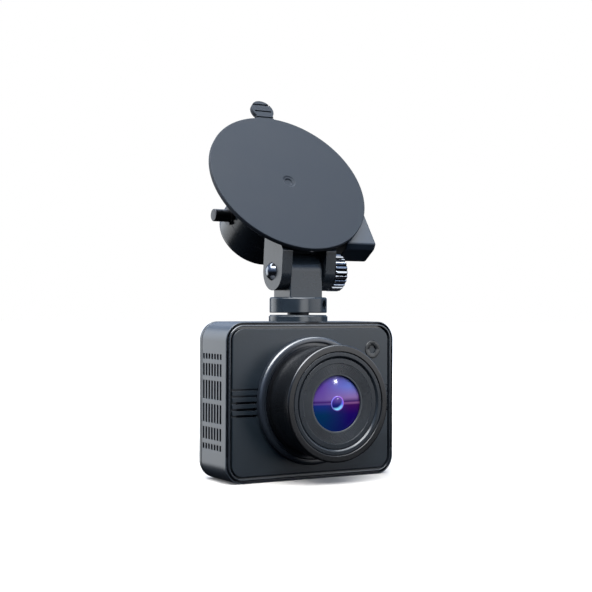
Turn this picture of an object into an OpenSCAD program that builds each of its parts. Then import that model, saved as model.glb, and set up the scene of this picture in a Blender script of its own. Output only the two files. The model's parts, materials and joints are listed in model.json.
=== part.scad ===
// Dash camera with a suction mount. Millimetres, +Z up.
// X runs to the right as the lens is faced, the lens looks along -Y.
// The origin is the centre of the camera body's bottom face.

/* [Camera body] */
// Width of the body
body_w = 67; // [64:0.5:72]
// Height of the body
body_h = 54; // [52:0.5:58]
// Depth of the body without the lens barrel
body_d = 20.6; // [20.6:0.2:24]
// Radius of the four body corners, seen from the front
corner_r = 6.5; // [5:0.5:8]
// Thickness of the housing walls
wall = 1.6; // [1.4:0.1:1.8]
// Radius that softens the edge of the rear cover
edge_r = 0.8; // [0.4:0.1:1]

/* [Lens barrel] */
// Radius of the stepped base of the barrel
flange_r = 22; // [21:0.5:23]
// Radius of the barrel
barrel_r = 18.9; // [18:0.1:19.4]
// Radius of the rim at the front of the barrel
rim_r = 19.6; // [19.5:0.1:20.5]
// Distance from the middle of the body to the front of the rim
lens_reach = 26.9; // [25:0.1:30]
// Radius of the visible glass
glass_r = 9.35; // [8:0.05:10]

/* [Vents and grooves] */
// Spacing of the vent columns
vent_pitch = 2.1; // [1.8:0.1:2.1]
// Width of a vent slot
vent_w = 1.1; // [0.8:0.1:1.2]
// Spacing of the front grooves
groove_pitch = 2.2; // [1.8:0.1:2.4]
// Height of a front groove
groove_w = 0.65; // [0.4:0.05:1]

/* [Swivel and clamp] */
// Radius of the swivel collar
collar_r = 10.05; // [9.5:0.05:10.3]
// Height of the tilt axis above the bottom of the body
pivot_z = 71.4; // [71.4:0.1:74]
// Half width of the fork
fork_half = 10.8; // [10.5:0.1:11]
// Half width of the slot in the fork
slot_half = 6.8; // [6.8:0.1:7]
// Radius of the clamp bolt
bolt_r = 1.7; // [1.5:0.1:2]
// Radius of the clamp knob
knob_r = 6.7; // [6:0.1:7]
// Number of ridges round the clamp knob
knob_ridges = 24; // [16:2:30]

/* [Suction mount] */
// Radius of the suction cup
cup_r = 30.25; // [29:0.25:31]
// Angle between the cup's face and the upright plane, in degrees
cup_lean = 35; // [33:1:36]
// Radius of the drum behind the cup
drum_r = 14.6; // [14:0.1:15]
// Distance from the face of the cup to the back of the drum
drum_reach = 32.4; // [31:0.2:34]
// Radius of the lever pin
pin_r = 2.25; // [2:0.05:2.4]
// Distance from the face of the cup to the lever pin
pin_reach = 20.8; // [20.4:0.1:21]
// Travel of the cup's stud when the lever opens
stud_travel = 1.2; // [0.8:0.1:1.2]

/* [Hidden] */
$fn = 64;

// Clearances: running fits, and gaps between parts that only pass each other
run = 0.05;
gap = 0.25;
eps = 0.01;

// Layers of the body, as distances f in front of its middle (f = -y)
front_f = body_d / 2;
rear_f = -body_d / 2;
shell_front = front_f - 1.8;
shell_lip = front_f - 0.4;
shell_rear = rear_f + 2.4;
rear_rim = rear_f + 2.2;
panel_f = front_f - 0.2;
pocket_f = front_f - 1.3;
cover_back = front_f - 3;
screen_floor = rear_f + 0.9;

// Insets of the front ring and the panel from the body's outline
lip_in = 0.35;
ring_in = 0.95;
pocket_in = 1.55;
panel_in = 2.3;
fit_in = wall + 0.1;

lens_z = body_h / 2;
mid_z = body_h / 2;

// Corner posts that take the body screws
post_x = body_w / 2 - 4.9;
post_dz = body_h / 2 - 5;
post_r = 2.4;
post_hole_r = 0.8;
post_start = rear_f + 3.4;
screw_r = 0.8;
screw_l = 8;
screw_head_r = 1.7;
screw_head_t = 0.8;

// Vent rows, from the middle of the side upwards and downwards
vent_cols = 7;
vent_mid_f = -0.25;
vent_rows = [[3.95, 6.4], [10.75, 4.2], [15.25, 1.95]];

// Grooves and the speaker slots
groove_d = 0.5;
groove_n = 2;
groove_x = 29;
groove_l = 24;
slot_x = [-29.2, -21.6];

// Round badge on the front panel
emblem_x = 24.6;
emblem_z = 44.2;
emblem_r = 3.1;
emblem_t = 0.5;
emblem_sink = 0.3;

// Lens stack, as distances in front of the body's middle
flange_bead_r = 1.05;
barrel_in_r = 17.2;
rim_len = 3.1;
rim_bevel = 0.4;
rings_back = 20;
trim_in_r = 15.2;
retaining_in_r = 13.4;
retaining_out_r = 15.1;
baffle_out_r = 13.35;
baffle_top = lens_reach - 0.6;
baffle_back = lens_reach - 1.55;
baffle_steps = 6;
baffle_drop = 0.08;
glass_apex = lens_reach - 0.6;
glass_back = lens_reach - 4.6;
glass_dome = 44;
cell_r = 10.6;
cell_wall = 1.4;
cell_step = 9;
cell_thread_r = 6;
element_r = 4.8;
middle_lens_t = 2.4;
stop_f = 4.2;
stop_t = 0.3;
stop_r = 1.4;
rear_lens_f = 5.2;
rear_lens_t = 2;

// Back of the camera
screen_w = 42;
screen_h = 31.5;
screen_z = 31.5;
screen_cover_w = 52;
screen_cover_h = 37;
key_z = 7.6;
key_w = 8.6;
key_h = 4;
key_x = [-18, -6, 6, 18];
key_travel = 0.5;

// Sensor and its holder, as the Y of the face nearest the lens
holder_y = -6.5;
holder_size = 18;
filter_y = 1.3;
filter_size = 8;
sensor_y = 1.9;
sensor_size = 9;
sensor_board_y = 3;
sensor_board_t = 0.8;

// Boards inside, as the Y of the face nearest the lens
board_y = 4.3;
board_t = 1;
board_w = 51.2;
board_edge = 3.6;
chip = [11, 1.2, 11];
chip_x = 10.6;
chip_z = 33;
shield = [13, 1.9, 13];
shield_t = 0.3;
cell = [18, 5.2, 24];
cell_at = [12, -3.2, 7.8];
display_size = [50, 3, 36.8];
display_z = 13.2;
speaker_x = -23.5;
speaker_r = 7.5;
microphone_x = 25;
microphone_z = 12;
switch_y = -rear_f - wall - 0.7 - key_travel - 0.1;

// Openings in the bottom and top of the shell
card_x = -14;
card_f = -2.35;
card_w = 11;
card_t = 0.9;
card_l = 15;
reset_x = 14;
reset_f = -1.6;
reset_r = 1;
socket_x = 20;
socket_f = -1.9;
socket_hole = [9.2, 4.2];
socket_case = [7.8, 3.8, 5.6];
card_case = [14, 2.7, 16];

// Mount foot and swivel
foot_r = 10.3;
foot_boss_r = 6.6;
foot_top = body_h + 2.3;
spindle_r = 3.8;
spindle_top = 2.2;
spindle_screw_r = 1.2;
washer_r = 5;
spindle_washer_t = 0.8;
collar_bottom = foot_top + 0.75;
collar_top = collar_bottom + 5.45;
tongue_half = 6.5;
tongue_r = 5.95;
tongue_mid_y = 0.2;
set_screw_r = 1.6;
set_screw_z = (collar_bottom + collar_top) / 2;
set_screw_az = -55;
set_screw_l = 3.2;
set_screw_seat = spindle_r + 1.4;

// Fork
ear_r = 6.6;
ear_mid_y = -0.6;
slot_r = 7.4;
head_r = 3.2;
head_h = 1.95;
washer_t = 0.6;
nut_r = 3.2;
nut_t = 2.4;
nut_x = 1.6;
housing_screw_at = [2.4, -4.5, pivot_z + 8.2];
housing_screw_r = 0.7;
knob_x = fork_half + washer_t + 0.1;
knob_len = 5.1;

// Cup frame: the face of the cup is its z = 0 plane, and z points away from the drum
cup_y = 6.6;
cup_z = pivot_z + 32.5;
cup_edge_t = 2;
flange_cup_r = 16.6;
flange_z = -3.2;
flange_t = 2;
drum_wall = 1.8;
drum_in_r = drum_r - drum_wall;
cap_z = -22.3;
cap_fillet = 2.9;
stem_r = 3;
stud_head_r = 8;
stud_head_t = 0.8;
tab_y = 34.3;
tab_r = 4.4;
tab_neck = 6.9;
tab_t = 1.8;

// Lever
lever_in = 17.3;
lever_out = 29.7;
hub_in = 15.4;
hub_r = 5.5;
paddle_front = -3.25;
paddle_back = -13.5;
paddle_low = -25.8;
pin_left = -21.6;
cam_r = 4.2;
cam_half = 2.2;
yoke_half = 2.5;
yoke_wall = 1.5;
yoke_play = 0.45;

// ---------- helpers ----------

// A frame whose x and y are the body's X and Z, and whose z points out of the front
module face_on() { rotate([90, 0, 0]) children(); }

// The cup's frame
module cup_frame() { translate([0, cup_y, cup_z]) rotate([90 - cup_lean, 0, 0]) children(); }

// Round things about the lens axis, drawn as a profile of radius and distance f
module lens_turn() { face_on() translate([0, lens_z, 0]) rotate_extrude() children(); }

// A rectangle with rounded corners, centred
module round_rect(w, h, r) {
    square([w, h - 2 * r], center = true);
    square([w - 2 * r, h], center = true);
    for (x = [-1, 1], y = [-1, 1]) translate([x * (w / 2 - r), y * (h / 2 - r)]) circle(r);
}

// The body's outline, moved in by a distance
module body_outline(inset = 0) {
    translate([0, mid_z]) round_rect(body_w - 2 * inset, body_h - 2 * inset, corner_r - inset);
}

// The body's outline as a slab from one distance f to another
module body_slab(f0, f1, inset = 0) {
    face_on() translate([0, 0, f0]) linear_extrude(f1 - f0) body_outline(inset);
}

// A slab with rounded corners whose upper edge is softened by radius s
module soft_slab(w, h, r, t, s) {
    for (x = [-1, 1], y = [-1, 1]) translate([x * (w / 2 - r), y * (h / 2 - r), 0]) rotate_extrude() {
        square([r, t - s]);
        square([r - s, t]);
        translate([r - s, t - s]) circle(s);
    }
    translate([-w / 2, r - h / 2, 0]) cube([w, h - 2 * r, t - s]);
    translate([r - w / 2, -h / 2, 0]) cube([w - 2 * r, h, t - s]);
    translate([s - w / 2, r - h / 2, 0]) cube([w - 2 * s, h - 2 * r, t]);
    translate([r - w / 2, s - h / 2, 0]) cube([w - 2 * r, h - 2 * s, t]);
    for (y = [-1, 1]) translate([r - w / 2, y * (h / 2 - s), t - s])
        rotate([0, 90, 0]) cylinder(r = s, h = w - 2 * r);
    for (x = [-1, 1]) translate([x * (w / 2 - s), r - h / 2, t - s])
        rotate([-90, 0, 0]) cylinder(r = s, h = h - 2 * r);
}

// A slot with round ends, long in y
module slot_2d(w, h) {
    square([w, h - w], center = true);
    for (y = [-1, 1]) translate([0, y * (h - w) / 2]) circle(w / 2);
}

// Places one thing at each corner post
module at_posts() {
    for (x = [-1, 1], z = [-1, 1]) translate([x * post_x, mid_z + z * post_dz, 0]) children();
}

// A cylinder from radius r, along the cup frame's X, between two x values
module x_rod(r, x0, x1) { translate([x0, 0, 0]) rotate([0, 90, 0]) cylinder(r = r, h = x1 - x0); }

// ---------- camera body ----------

module vent_cutters() {
    for (c = [0 : vent_cols - 1], row = vent_rows, s = [-1, 1])
        translate([0, -vent_mid_f + (c - (vent_cols - 1) / 2) * vent_pitch, mid_z + s * row[0]])
            rotate([0, 90, 0]) rotate([0, 0, 90])
                translate([0, 0, -body_w]) linear_extrude(2 * body_w) slot_2d(vent_w, row[1]);
}

module main_shell() {
    color([0.33, 0.36, 0.40]) difference() {
        union() {
            body_slab(shell_rear, shell_front);
            difference() {
                body_slab(shell_front - eps, shell_lip);
                body_slab(shell_front - 1, front_f + 1, lip_in);
            }
        }
        body_slab(shell_rear - 1, front_f, wall);
        vent_cutters();
        translate([0, 0, body_h - wall - 1]) cylinder(r = foot_boss_r, h = wall + 2);
        translate([card_x - card_w / 2 - gap, -card_f - card_t / 2 - gap, -1])
            cube([card_w + 2 * gap, card_t + 2 * gap, wall + 2]);
        translate([reset_x, -reset_f, -1]) cylinder(r = reset_r + 0.1, h = wall + 2);
        translate([socket_x - socket_hole[0] / 2, -socket_f - socket_hole[1] / 2, body_h - wall - 1])
            cube([socket_hole[0], socket_hole[1], wall + 2]);
    }
}

// Slots in front of the loudspeaker, cut from just before a layer to a depth behind it
module speaker_slots(f, depth) {
    for (k = [-groove_n : 0]) translate([slot_x[0], -f - 1, lens_z + k * groove_pitch - groove_w / 2])
        cube([slot_x[1] - slot_x[0], depth, groove_w]);
}

module front_cover() {
    color([0.28, 0.30, 0.33]) difference() {
        union() {
            body_slab(shell_front, front_f, ring_in);
            body_slab(cover_back, shell_front + eps, fit_in);
            face_on() at_posts() translate([0, 0, post_start])
                cylinder(r = post_r, h = cover_back - post_start + 0.1);
        }
        body_slab(pocket_f, front_f + 1, pocket_in);
        face_on() translate([0, lens_z, 0]) cylinder(r = barrel_r + 0.05, h = front_f + 1);
        face_on() at_posts() translate([0, 0, rear_f]) cylinder(r = post_hole_r, h = body_d - 3);
        speaker_slots(pocket_f, 3.5);
    }
}

module front_panel() {
    color([0.26, 0.28, 0.31]) difference() {
        body_slab(pocket_f, panel_f, panel_in);
        face_on() translate([0, lens_z, 0]) cylinder(r = barrel_r + 0.05, h = front_f + 1);
        for (k = [-groove_n : groove_n], s = [-1, 1])
            translate([s * groove_x - groove_l / 2, -panel_f - 1, lens_z + k * groove_pitch - groove_w / 2])
                cube([groove_l, 1 + groove_d, groove_w]);
        speaker_slots(panel_f, 4);
        face_on() translate([emblem_x, emblem_z, panel_f - emblem_sink]) cylinder(r = emblem_r + run, h = 2);
    }
}

module emblem() {
    color([0.13, 0.14, 0.15]) face_on() translate([emblem_x, emblem_z, panel_f - emblem_sink]) difference() {
        cylinder(r = emblem_r, h = emblem_t);
        translate([0, 0, -1]) cylinder(r = emblem_r / 2, h = emblem_t + 2, $fn = 6);
    }
}

module rear_cover() {
    color([0.24, 0.26, 0.29]) difference() {
        union() {
            translate([0, -rear_rim, mid_z]) rotate([-90, 0, 0])
                soft_slab(body_w, body_h, corner_r, rear_rim - rear_f, edge_r);
            body_slab(rear_rim - eps, rear_rim + 1.2, fit_in);
        }
        body_slab(rear_f + wall, rear_rim + 2, fit_in + 1.2);
        face_on() translate([0, screen_z, rear_f - 1]) linear_extrude(1 + screen_floor - rear_f)
            round_rect(screen_cover_w + 0.2, screen_cover_h + 0.2, 2.1);
        face_on() translate([0, screen_z, rear_f]) linear_extrude(3) round_rect(screen_w, screen_h, 0.8);
        for (x = key_x) face_on() translate([x, key_z, rear_f - 1]) linear_extrude(4)
            round_rect(key_w + 2 * gap, key_h + 2 * gap, 1.2);
        face_on() at_posts() translate([0, 0, rear_f - 1]) cylinder(r = screw_head_r + 0.2, h = 2);
        face_on() at_posts() translate([0, 0, rear_f - 1]) cylinder(r = screw_r + 0.2, h = 6);
        face_on() at_posts() translate([0, 0, rear_f + wall]) cylinder(r = post_r + 0.1, h = 3);
    }
}

module body_screws() {
    color([0.15, 0.15, 0.16]) face_on() at_posts() difference() {
        union() {
            translate([0, 0, rear_f + 0.2]) cylinder(r = screw_head_r, h = screw_head_t);
            translate([0, 0, rear_f + 0.1 + screw_head_t]) cylinder(r = screw_r, h = screw_l);
        }
        for (a = [0, 90]) rotate([0, 0, a]) translate([-1.1, -0.2, rear_f]) cube([2.2, 0.4, 0.7]);
    }
}

// ---------- lens ----------

module lens_flange() {
    color([0.25, 0.27, 0.30]) lens_turn() difference() {
        union() {
            translate([barrel_r + 0.05, panel_f]) square([flange_r - barrel_r - 0.05, flange_bead_r]);
            translate([flange_r - flange_bead_r, panel_f + flange_bead_r]) circle(flange_bead_r);
        }
        translate([0, panel_f - 2]) square([flange_r + 1, 2]);
    }
}

module lens_barrel() {
    color([0.17, 0.18, 0.20]) lens_turn() polygon([
        [barrel_in_r, cover_back], [barrel_r, cover_back],
        [barrel_r, lens_reach - rim_len - 0.4], [barrel_r - 0.4, lens_reach - rim_len - 0.4],
        [barrel_r - 0.4, lens_reach - rim_len], [rim_r, lens_reach - rim_len],
        [rim_r, lens_reach - rim_bevel], [rim_r - rim_bevel, lens_reach], [barrel_in_r + 0.1, lens_reach],
        [barrel_in_r + 0.1, lens_reach - 1], [barrel_in_r, lens_reach - 1]
    ]);
}

module trim_ring() {
    color([0.22, 0.23, 0.25]) lens_turn() polygon([
        [trim_in_r, rings_back], [barrel_in_r - 0.02, rings_back], [barrel_in_r - 0.02, lens_reach - 0.5],
        [barrel_in_r - 0.35, lens_reach - 0.15], [trim_in_r + 0.55, lens_reach - 0.15],
        [trim_in_r, lens_reach - 0.65]
    ]);
}

module retaining_ring() {
    color([0.2, 0.21, 0.23]) lens_turn() polygon([
        [retaining_in_r, rings_back], [retaining_out_r, rings_back], [retaining_out_r, lens_reach - 0.7],
        [retaining_out_r - 0.2, lens_reach - 0.5], [retaining_in_r, lens_reach - 0.5]
    ]);
}

// Ridged funnel: each ridge steps in and down by the same amount
module lens_baffle() {
    step_in = (baffle_out_r - glass_r) / (baffle_steps + 1);
    color([0.08, 0.08, 0.09]) lens_turn() difference() {
        translate([glass_r, baffle_back]) square([baffle_out_r - glass_r, baffle_top - baffle_back]);
        for (k = [0 : baffle_steps - 1]) translate([glass_r - 1, baffle_top - (baffle_steps - k) * baffle_drop])
            square([1 + (k + 1) * step_in, 5]);
    }
}

module front_lens() {
    color([0.12, 0.1, 0.25, 0.6]) lens_turn() difference() {
        intersection() {
            translate([0, glass_back]) square([cell_r - 0.5, 8]);
            translate([0, glass_apex - glass_dome]) circle(glass_dome);
        }
        translate([0, glass_back - 1.2]) circle(3.2);
        translate([-20, glass_back - 10]) square([20, 30]);
    }
}

module middle_lens() {
    color([0.15, 0.15, 0.3, 0.6]) lens_turn() square([element_r, middle_lens_t]);
}

module rear_lens() {
    color([0.15, 0.15, 0.3, 0.6]) lens_turn() translate([0, rear_lens_f]) square([element_r, rear_lens_t]);
}

module aperture_stop() {
    color([0.05, 0.05, 0.05]) lens_turn() translate([stop_r, stop_f]) square([element_r - stop_r, stop_t]);
}

// Stepped tube that holds all elements; its narrow end screws into the sensor holder
module lens_cell() {
    color([0.1, 0.1, 0.11]) lens_turn() difference() {
        union() {
            translate([0, -1]) square([cell_thread_r, 12]);
            translate([0, cell_step]) square([cell_r + cell_wall, baffle_back - cell_step]);
        }
        translate([-1, -2]) square([1 + 4.2, 14]);
        translate([-1, 0]) square([1 + element_r, rear_lens_f + rear_lens_t]);
        translate([-1, 11]) square([1 + 8.5, 20]);
        translate([-1, glass_back]) square([1 + cell_r - 0.5, 20]);
    }
}

module sensor_holder() {
    color([0.12, 0.12, 0.13]) difference() {
        translate([-holder_size / 2, holder_y, lens_z - holder_size / 2]) cube([holder_size, 5.7, holder_size]);
        face_on() translate([0, lens_z, 0]) cylinder(r = cell_thread_r, h = 30, center = true);
    }
}

module ir_filter() {
    color([0.5, 0.7, 0.7, 0.5]) translate([-filter_size / 2, filter_y, lens_z - filter_size / 2])
        cube([filter_size, 0.4, filter_size]);
}

module image_sensor() {
    color([0.2, 0.25, 0.3]) translate([-sensor_size / 2, sensor_y, lens_z - sensor_size / 2])
        cube([sensor_size, sensor_board_y - sensor_y, sensor_size]);
}

// ---------- electronics ----------

module sensor_board() {
    color([0.1, 0.3, 0.2]) difference() {
        translate([-holder_size / 2, sensor_board_y, lens_z - holder_size / 2])
            cube([holder_size, sensor_board_t, holder_size]);
        for (x = [-1, 1], z = [-1, 1]) translate([x * 7.5, sensor_board_y - 1, lens_z + z * 7.5])
            rotate([-90, 0, 0]) cylinder(r = 0.8, h = 3);
    }
}

module main_board() {
    color([0.1, 0.32, 0.2]) difference() {
        translate([-board_w / 2, board_y, board_edge]) cube([board_w, board_t, body_h - 2 * board_edge]);
        translate([-8, board_y - 1, body_h - 8]) cube([16, 3, 10]);
    }
}

module processor() {
    color([0.1, 0.1, 0.11]) translate([chip_x, board_y - chip[1], chip_z]) cube(chip);
}

module board_shield() {
    color([0.7, 0.7, 0.72]) translate([chip_x - 1, board_y - shield[1], chip_z - 1]) difference() {
        cube(shield);
        translate([shield_t, shield_t, shield_t]) cube([shield[0] - 2 * shield_t, 2, shield[2] - 2 * shield_t]);
    }
}

module backup_cell() {
    color([0.55, 0.6, 0.65]) translate(cell_at) cube(cell);
}

module display() {
    color([0.05, 0.05, 0.07]) translate([-display_size[0] / 2, board_y + board_t + 0.3, display_z])
        cube(display_size);
}

module screen_cover() {
    color([0.03, 0.03, 0.04, 0.8]) face_on() translate([0, screen_z, rear_f + 0.05])
        linear_extrude(0.8) round_rect(screen_cover_w, screen_cover_h, 2);
}

module speaker() {
    color([0.2, 0.2, 0.22]) translate([speaker_x, -cover_back, lens_z - 1]) rotate([-90, 0, 0]) {
        cylinder(r = speaker_r, h = 2.6);
        cylinder(r = 4, h = 3.8);
    }
}

module microphone() {
    color([0.7, 0.68, 0.6]) translate([microphone_x, -cover_back, microphone_z])
        rotate([-90, 0, 0]) cylinder(r = 2, h = 1.5);
}

// Metal housing with a slot that the card slides in, open at the bottom
module card_socket() {
    corner = [card_x - card_case[0] / 2, board_y - card_case[1], wall + 0.4];
    color([0.72, 0.72, 0.74]) difference() {
        translate(corner) cube(card_case);
        translate([card_x - card_w / 2 - 0.1, -card_f - card_t / 2 - 0.1, 0])
            cube([card_w + 0.2, card_t + 0.2, wall - 0.6 + card_case[2]]);
    }
}

module memory_card() {
    color([0.08, 0.08, 0.09]) translate([card_x - card_w / 2, -card_f - card_t / 2, 0.4]) difference() {
        cube([card_w, card_t, card_l]);
        translate([card_w - 1.2, -1, card_l - 6]) cube([2, 3, 7]);
    }
}

module power_socket() {
    corner = [socket_x - socket_case[0] / 2, board_y - socket_case[1], body_h - 7.4];
    color([0.7, 0.7, 0.72]) translate(corner) difference() {
        cube(socket_case);
        translate([0.5, 0.6, 0.8]) cube([6.8, 2.2, 6]);
    }
}

// A key: a cap that stands out of the back and a flange that keeps it in
module key(x) {
    color([0.12, 0.12, 0.13]) face_on() translate([x, key_z, 0]) {
        translate([0, 0, rear_f - 0.45]) linear_extrude(wall + 0.55) round_rect(key_w, key_h, 1);
        translate([0, 0, rear_f + wall + 0.1]) linear_extrude(0.6) round_rect(key_w + 1.6, key_h + 1.2, 1);
    }
}

module menu_key() { key(key_x[0]); }
module up_key() { key(key_x[1]); }
module down_key() { key(key_x[2]); }
module ok_key() { key(key_x[3]); }

module key_switches() {
    size = [3.2, 0.9, 3.2];
    color([0.75, 0.75, 0.75]) for (x = key_x)
        translate([x - size[0] / 2, switch_y - size[1], key_z - size[2] / 2]) cube(size);
}

module key_board() {
    color([0.1, 0.32, 0.2]) translate([-23.5, switch_y - 1.6, key_z - 2.6]) cube([47, 0.7, 5.4]);
}

module reset_button() {
    color([0.12, 0.12, 0.13]) translate([reset_x, -reset_f, 0]) {
        translate([0, 0, 0.5]) cylinder(r = reset_r, h = 1.6);
        translate([0, 0, wall + 0.1]) cylinder(r = reset_r + 0.7, h = 0.8);
    }
}

// ---------- swivel ----------

module foot_ring() {
    color([0.2, 0.22, 0.25]) difference() {
        union() {
            translate([0, 0, body_h]) cylinder(r = foot_r, h = foot_top - body_h - 0.4);
            translate([0, 0, foot_top - 0.4 - eps]) cylinder(r = foot_r - 0.35, h = 0.4 + eps);
            translate([0, 0, body_h - wall - 1]) cylinder(r = foot_boss_r, h = wall + 1 + eps);
        }
        translate([0, 0, body_h - 5]) cylinder(r = spindle_r + run, h = 10);
    }
}

module spindle() {
    color([0.6, 0.6, 0.62]) difference() {
        translate([0, 0, body_h - wall - 1.2])
            cylinder(r = spindle_r, h = collar_bottom + spindle_top - body_h + wall + 1.2);
        translate([0, 0, body_h - wall - 2]) cylinder(r = spindle_screw_r, h = 6);
    }
}

module spindle_washer() {
    color([0.7, 0.7, 0.7]) translate([0, 0, body_h - wall - 2]) difference() {
        cylinder(r = washer_r, h = spindle_washer_t);
        translate([0, 0, -1]) cylinder(r = 1.5, h = 3);
    }
}

module spindle_screw() {
    color([0.6, 0.6, 0.6]) translate([0, 0, body_h - wall - 2]) {
        translate([0, 0, -1.6]) cylinder(r = 2.6, h = 1.6);
        translate([0, 0, -eps]) cylinder(r = spindle_screw_r, h = 5);
    }
}

module swivel_collar() {
    color([0.3, 0.33, 0.36]) difference() {
        union() {
            translate([0, 0, collar_bottom]) rotate_extrude() polygon([
                [0, 0], [collar_r - 0.3, 0], [collar_r, 0.3],
                [collar_r, collar_top - collar_bottom - 0.6], [collar_r - 0.6, collar_top - collar_bottom],
                [0, collar_top - collar_bottom]
            ]);
            translate([-tongue_half, tongue_mid_y - tongue_r, collar_top - 1])
                cube([2 * tongue_half, 2 * tongue_r, pivot_z - collar_top + 1]);
            translate([0, tongue_mid_y, pivot_z]) x_rod(tongue_r, -tongue_half, tongue_half);
        }
        translate([0, 0, collar_bottom - 1]) cylinder(r = spindle_r, h = 1 + spindle_top);
        translate([0, 0, pivot_z]) x_rod(bolt_r + run, -10, 10);
        translate([0, 0, set_screw_z]) rotate([0, 0, set_screw_az]) rotate([0, 90, 0])
            translate([0, 0, set_screw_seat]) cylinder(r = set_screw_r, h = 10);
    }
}

module set_screw() {
    color([0.75, 0.75, 0.77]) translate([0, 0, set_screw_z]) rotate([0, 0, set_screw_az]) rotate([0, 90, 0])
        translate([0, 0, set_screw_seat]) difference() {
            cylinder(r = set_screw_r, h = set_screw_l);
            translate([0, 0, set_screw_l - 1.2]) cylinder(r = set_screw_r / 2, h = 3, $fn = 6);
        }
}

// ---------- suction mount ----------

// Side outline of the fork, in Y and Z
module fork_side() {
    translate([ear_mid_y, pivot_z]) circle(ear_r);
    polygon([
        [ear_mid_y - ear_r, pivot_z], [-7.9, pivot_z + 7.2], [-7.1, pivot_z + 8.4], [1.3, pivot_z + 19.1],
        [9.5, pivot_z + 15.8], [4.8, pivot_z + 13], [5.4, pivot_z + 8], [ear_mid_y + ear_r, pivot_z]
    ]);
}

module fork_slot() {
    difference() {
        union() {
            translate([0, 0, pivot_z]) x_rod(slot_r, -slot_half, slot_half);
            translate([-slot_half, -20, pivot_z - 20]) cube([2 * slot_half, 40, 20]);
            translate([-slot_half, -20, pivot_z - 2]) cube([2 * slot_half, 15.5, 30]);
        }
        cup_frame() translate([0, 0, flange_z - flange_t]) cylinder(r = drum_r, h = flange_t);
    }
}

module mount_housing() {
    color([0.3, 0.32, 0.35]) difference() {
        union() {
            difference() {
                rotate([90, 0, 90]) translate([0, 0, -fork_half]) linear_extrude(2 * fork_half) fork_side();
                fork_slot();
            }
            cup_frame() translate([0, 0, flange_z - flange_t]) cylinder(r = flange_cup_r, h = flange_t);
            cup_frame() translate([0, 0, cap_z]) cylinder(r = drum_r, h = flange_z - 1 - cap_z);
        }
        cup_frame() {
            translate([0, 0, cap_z - 1]) cylinder(r = drum_in_r, h = 1 - cap_z + flange_z - flange_t);
            cylinder(r = stem_r + run, h = 20, center = true);
            translate([0, 0, -pin_reach]) x_rod(pin_r + run, -20, 20);
        }
        translate([0, 0, pivot_z]) x_rod(bolt_r, -20, 20);
        translate(housing_screw_at - [0, 0.1, 0]) rotate([-90, 0, 0]) cylinder(r = housing_screw_r, h = 5);
    }
}

module housing_cap() {
    depth = drum_reach + cap_z;
    color([0.28, 0.3, 0.33]) cup_frame() translate([0, 0, cap_z]) mirror([0, 0, 1]) difference() {
        rotate_extrude() {
            square([drum_r, depth - cap_fillet]);
            square([drum_r - cap_fillet, depth]);
            translate([drum_r - cap_fillet, depth - cap_fillet]) circle(cap_fillet);
        }
        translate([0, 0, -1]) cylinder(r = drum_in_r, h = depth - drum_wall);
        translate([0, 0, pin_reach + cap_z]) x_rod(pin_r + run, -20, 20);
    }
}

module housing_screw() {
    color([0.7, 0.7, 0.72]) translate(housing_screw_at) rotate([-90, 0, 0]) {
        cylinder(r = housing_screw_r, h = 4.5);
        translate([0, 0, -0.6]) cylinder(r = 1.3, h = 0.6);
    }
}

module clamp_bolt() {
    dome = (head_r * head_r + head_h * head_h) / (2 * head_h);
    color([0.45, 0.48, 0.5]) translate([0, 0, pivot_z]) {
        x_rod(bolt_r, -fork_half - 0.5, knob_x + knob_len - 0.6);
        translate([-fork_half, 0, 0]) rotate([0, -90, 0]) intersection() {
            translate([0, 0, head_h - dome]) sphere(dome);
            cylinder(r = head_r, h = head_h);
        }
    }
}

module clamp_washer() {
    color([0.6, 0.6, 0.62]) translate([0, 0, pivot_z]) difference() {
        x_rod(washer_r, fork_half, fork_half + washer_t);
        x_rod(bolt_r, 0, 20);
    }
}

module clamp_knob() {
    color([0.12, 0.13, 0.14]) translate([knob_x, 0, pivot_z]) rotate([0, 90, 0]) difference() {
        union() {
            cylinder(r = knob_r - 0.6, h = knob_len);
            for (k = [0 : knob_ridges - 1]) rotate([0, 0, k * 360 / knob_ridges])
                translate([knob_r - 0.75, -0.42, 0.3]) cube([0.75, 0.84, knob_len - 0.6]);
        }
        translate([0, 0, -1]) cylinder(r = bolt_r + run, h = 10);
        translate([0, 0, nut_x]) cylinder(r = nut_r, h = 10, $fn = 6);
    }
}

module knob_nut() {
    color([0.7, 0.68, 0.5]) translate([knob_x, 0, pivot_z]) rotate([0, 90, 0]) difference() {
        translate([0, 0, nut_x]) cylinder(r = nut_r, h = nut_t, $fn = 6);
        translate([0, 0, -1]) cylinder(r = bolt_r + run, h = 10);
    }
}

module suction_cup() {
    color([0.33, 0.37, 0.42]) cup_frame() difference() {
        union() {
            translate([0, 0, -cup_edge_t]) cylinder(r = cup_r, h = cup_edge_t);
            translate([0, 0, flange_z]) cylinder(r = flange_cup_r, h = 2);
            translate([0, tab_y, -tab_t]) cylinder(r = tab_r, h = tab_t);
            translate([-tab_neck / 2, cup_r - 2, -tab_t]) cube([tab_neck, tab_y - cup_r + 2, tab_t]);
        }
        translate([0, 0, flange_z - 1]) cylinder(r = stud_head_r + 0.3, h = 3.2);
        rotate_extrude() translate([2.1, 0]) circle(0.35);
        for (y = [30.6, 33.6, 36.8]) translate([-tab_r * 0.8, y - 0.3, -0.5]) cube([tab_r * 1.6, 0.6, 1]);
    }
}

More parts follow.
